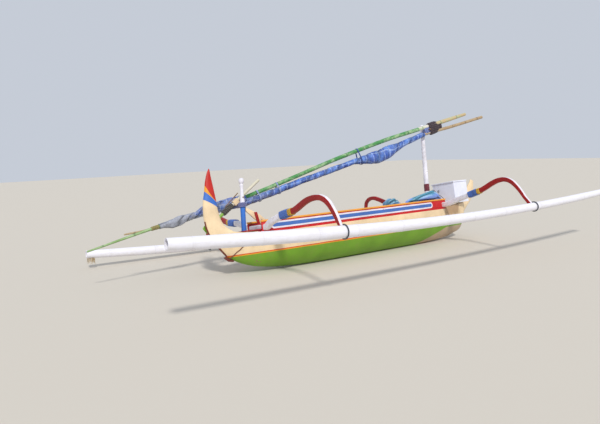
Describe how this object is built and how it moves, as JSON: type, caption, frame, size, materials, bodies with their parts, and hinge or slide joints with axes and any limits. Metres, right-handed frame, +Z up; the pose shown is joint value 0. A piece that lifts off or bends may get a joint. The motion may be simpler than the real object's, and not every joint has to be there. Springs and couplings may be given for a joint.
{
  "type": "double outrigger sailing canoe",
  "caption": "Narrow dugout sailing canoe with two bamboo floats on arched arms, a carved stern neck, stern post, mast and a furled sail.",
  "frame": {"origin": "bottom centre of the box round the whole canoe, on the ground it stands on", "axes": "+X to the bow, +Y to port, +Z up; the hull leans to port onto its float"},
  "size_m": [8.0544, 3.9908, 2.2534],
  "materials": {
    "cream_paint": "brushed gloss paint, cream above a red-orange and yellow-orange stripe, green below",
    "red_paint": "gloss paint over hand-shaped timber",
    "orange_paint": "gloss paint",
    "white_paint": "white paint over timber",
    "white_bamboo": "white paint over bamboo",
    "blue_lashing": "painted cord lashing",
    "dark_rope": "weathered rope",
    "blue_rope": "blue rope",
    "maroon_wrap": "faded wrap",
    "green_bamboo": "green painted bamboo",
    "dry_bamboo": "dry bamboo",
    "tie_cord": "pale cord",
    "sail_cloth": "blue woven sail cloth with light lines",
    "cover_cloth": "teal and blue cloth",
    "locker_paint": "white paint, lavender in shade",
    "bare_timber": "bare timber"
  },
  "bodies": {
    "boat": {"hull": "cream_paint", "stern_neck": "cream_paint", "neck_finial": "red_paint", "bow_stem": "cream_paint", "stern_jaw": "maroon_wrap", "washstrake_port": "red_paint", "rail_cap_port": "orange_paint", "washstrake_starboard": "red_paint", "rail_cap_starboard": "orange_paint", "aft_deck": "red_paint", "thwart_aft": "red_paint", "thwart_middle": "red_paint", "thwart_fore": "red_paint", "mast_thwart": "red_paint", "bow_deck": "cream_paint", "rear_beam": "white_paint", "rear_arm_port": "red_paint", "rear_band_port": "blue_lashing", "rear_foot_rope_port": "dark_rope", "rear_arm_starboard": "red_paint", "rear_band_starboard": "blue_lashing", "rear_foot_rope_starboard": "dark_rope", "front_beam": "white_paint", "front_arm_port": "red_paint", "front_band_port": "blue_lashing", "front_foot_rope_port": "dark_rope", "front_arm_starboard": "red_paint", "front_band_starboard": "blue_lashing", "front_foot_rope_starboard": "dark_rope", "float_port": "white_bamboo", "float_starboard": "white_bamboo", "stern_post": "white_paint", "oar_peg": "bare_timber", "stern_becket": "blue_rope", "post_brace": "cream_paint", "brace_prop": "red_paint", "mast_step": "bare_timber", "bow_locker": "locker_paint", "locker_hinge": "bare_timber", "cover_cloth_aft": "cover_cloth", "cover_cloth_fore": "cover_cloth"},
    "mast": {"mast": "white_paint", "masthead_peg": "bare_timber", "mast_collar": "maroon_wrap"},
    "sail": {"upper_spar": "green_bamboo", "lower_spar": "dry_bamboo", "sail_roll": "sail_cloth", "sail_tail": "sail_cloth", "sail_tie_fore": "tie_cord", "sail_tie_middle": "tie_cord", "sail_tie_aft": "tie_cord", "sail_tie_stern": "tie_cord", "masthead_lashing": "dark_rope"},
    "oar": {"steering_oar": "dry_bamboo", "oar_serving": "dark_rope", "oar_chock": "cream_paint"},
    "lid": {"locker_lid": "locker_paint"}
  },
  "joints": [
    {"name": "mast_turn", "type": "hinge", "parent": "boat", "child": "mast", "pos_m": [1.63322, 0.07528, 0.87781], "axis": [-0.0761, -0.1669, -0.983], "range_deg": [0, 10]},
    {"name": "sail_lift", "type": "hinge", "parent": "mast", "child": "sail", "pos_m": [1.73216, 0.1414, 1.94936], "axis": [0, 0.9859, -0.1674], "range_deg": [0, 40]},
    {"name": "oar_lift", "type": "hinge", "parent": "boat", "child": "oar", "pos_m": [-1.99293, 0.18855, 1.03709], "axis": [0, 0.9859, -0.1674], "range_deg": [0, 35]},
    {"name": "lid_open", "type": "hinge", "parent": "boat", "child": "lid", "pos_m": [2.39822, 0.09118, 0.97147], "axis": [0, 0.9859, -0.1674], "range_deg": [0, 100]}
  ]
}
